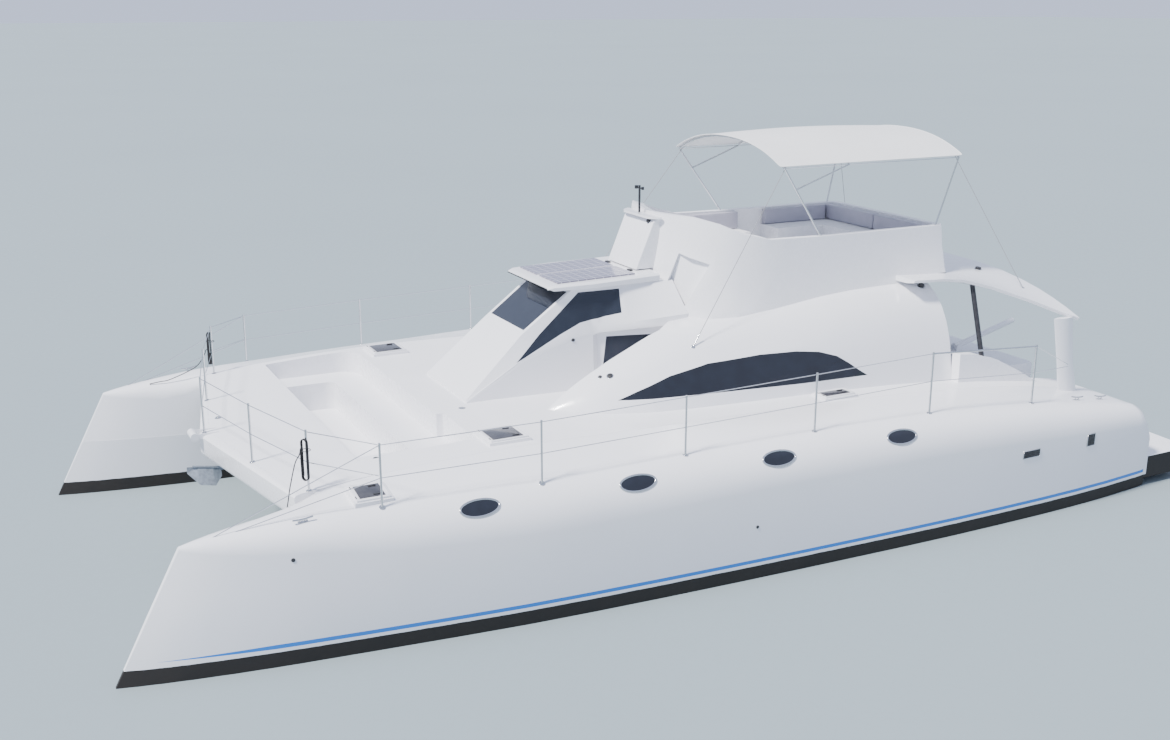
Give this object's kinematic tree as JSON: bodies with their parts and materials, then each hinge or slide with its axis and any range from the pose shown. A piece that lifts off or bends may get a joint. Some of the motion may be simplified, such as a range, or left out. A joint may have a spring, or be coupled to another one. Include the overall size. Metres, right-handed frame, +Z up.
{
  "type": "power catamaran",
  "caption": "Twin-hull motor cruiser with a central helm pod, crescent side windows, a flybridge under a fabric cover, and a roofed open cockpit.",
  "frame": {"origin": "on the waterline, on the centreline, 7.3 m aft of the bows", "axes": "+X to port, +Y aft, +Z up; the bows point along -Y"},
  "size_m": [7.6588, 15.1474, 6.0947],
  "materials": {
    "black_paint": "satin black",
    "black_rope": "plain black braided line",
    "bronze": "cast bronze",
    "dark_glass": "tinted acrylic and glass, near black with a navy cast",
    "grey_upholstery": "matt grey-lilac marine vinyl",
    "pale_wood": "oiled wood",
    "solar_cells": "thin flexible panel with dark cells and pale lines",
    "stainless_steel": "polished stainless steel",
    "white_canvas": "matt white woven cover",
    "white_gelcoat": "gloss gelcoat, very light lavender in the shade"
  },
  "bodies": {
    "boat": {"anchor": "stainless_steel", "antenna_mast": "black_paint", "bimini_canvas": "white_canvas", "bimini_frame": "stainless_steel", "bow_roller": "white_gelcoat", "bridge_deck": "white_gelcoat", "coachroof": "white_gelcoat", "cockpit_bench": "white_gelcoat", "cockpit_roof": "white_gelcoat", "drive_shaft_port": "stainless_steel", "drive_shaft_starboard": "stainless_steel", "fly_backrest": "grey_upholstery", "fly_front_backrest": "grey_upholstery", "fly_front_seat": "white_gelcoat", "fly_hood": "white_gelcoat", "fly_seat": "white_gelcoat", "flybridge": "white_gelcoat", "gully_glass_port": "dark_glass", "gully_glass_starboard": "dark_glass", "helm_console": "white_gelcoat", "helm_pod": "white_gelcoat", "helm_roof": "white_gelcoat", "helm_seat": "grey_upholstery", "helm_seat_base": "white_gelcoat", "hull_port": "white_gelcoat", "hull_starboard": "white_gelcoat", "pod_glass_port": "dark_glass", "pod_glass_starboard": "dark_glass", "rail_bow": "stainless_steel", "rail_port": "stainless_steel", "rail_starboard": "stainless_steel", "roof_post_port": "black_paint", "roof_post_starboard": "black_paint", "rope_hank_port": "black_rope", "rope_hank_starboard": "black_rope", "rope_line_port": "black_rope", "rope_line_starboard": "black_rope", "saloon_bulkhead": "white_gelcoat", "saloon_galley": "white_gelcoat", "saloon_glass_port": "dark_glass", "saloon_glass_starboard": "dark_glass", "saloon_settee": "grey_upholstery", "saloon_steps": "pale_wood", "solar_panel_port": "solar_cells", "solar_panel_starboard": "solar_cells", "windscreen": "dark_glass"},
    "propeller_port": {"propeller_port": "bronze"},
    "propeller_starboard": {"propeller_starboard": "bronze"},
    "rudder_port": {"rudder_port": "bronze"},
    "rudder_starboard": {"rudder_starboard": "bronze"},
    "steering_wheel": {"steering_wheel": "black_paint"},
    "saloon_door": {"saloon_door": "dark_glass"},
    "davit_boom": {"davit_boom": "white_gelcoat"},
    "hatch_lid_fore_port": {"hatch_lid_fore_port": "dark_glass"},
    "hatch_lid_fore_starboard": {"hatch_lid_fore_starboard": "dark_glass"},
    "hatch_lid_side_port": {"hatch_lid_side_port": "dark_glass"},
    "hatch_lid_side_starboard": {"hatch_lid_side_starboard": "dark_glass"},
    "hatch_lid_bow_port": {"hatch_lid_bow_port": "dark_glass"}
  },
  "joints": [
    {"name": "propeller_port_spin", "type": "hinge", "parent": "boat", "child": "propeller_port", "pos_m": [3.03, 6.06, -0.86], "axis": [0, 0.9903, -0.1392], "continuous": true},
    {"name": "rudder_port_turn", "type": "hinge", "parent": "boat", "child": "rudder_port", "pos_m": [3.03, 6.52, -0.58], "axis": [0, 0, 1], "range_deg": [-35, 35]},
    {"name": "propeller_starboard_spin", "type": "hinge", "parent": "boat", "child": "propeller_starboard", "pos_m": [-3.03, 6.06, -0.86], "axis": [0, 0.9903, -0.1392], "continuous": true},
    {"name": "rudder_starboard_turn", "type": "hinge", "parent": "boat", "child": "rudder_starboard", "pos_m": [-3.03, 6.52, -0.58], "axis": [0, 0, 1], "range_deg": [-35, 35]},
    {"name": "steering_wheel_turn", "type": "hinge", "parent": "boat", "child": "steering_wheel", "pos_m": [0.22, -1.1296, 2.4428], "axis": [0, 0.788, 0.6157], "range_deg": [-720, 720]},
    {"name": "saloon_door_slide", "type": "slide", "parent": "boat", "child": "saloon_door", "axis": [1, 0, 0], "range_m": [0, 0.9]},
    {"name": "davit_boom_lift", "type": "hinge", "parent": "boat", "child": "davit_boom", "pos_m": [0.5, 6.02, 1.475], "axis": [1, 0, 0], "range_deg": [0, 60]},
    {"name": "hatch_fore_port_lift", "type": "hinge", "parent": "boat", "child": "hatch_lid_fore_port", "pos_m": [2.22, -2.82, 1.79999], "axis": [1, 0, 0], "range_deg": [0, 75]},
    {"name": "hatch_fore_starboard_lift", "type": "hinge", "parent": "boat", "child": "hatch_lid_fore_starboard", "pos_m": [-2.22, -2.82, 1.79999], "axis": [1, 0, 0], "range_deg": [0, 75]},
    {"name": "hatch_side_port_lift", "type": "hinge", "parent": "boat", "child": "hatch_lid_side_port", "pos_m": [2.4, 1.94, 1.7085], "axis": [1, 0, 0], "range_deg": [0, 75]},
    {"name": "hatch_side_starboard_lift", "type": "hinge", "parent": "boat", "child": "hatch_lid_side_starboard", "pos_m": [-2.4, 1.94, 1.7085], "axis": [1, 0, 0], "range_deg": [0, 75]},
    {"name": "hatch_bow_port_lift", "type": "hinge", "parent": "boat", "child": "hatch_lid_bow_port", "pos_m": [3.01, -4.67, 1.66], "axis": [0.9877, 0, -0.1564], "range_deg": [0, 40]}
  ],
  "couplings": [
    {"joint": "rudder_starboard_turn", "follows": "rudder_port_turn", "ratio": 1}
  ]
}
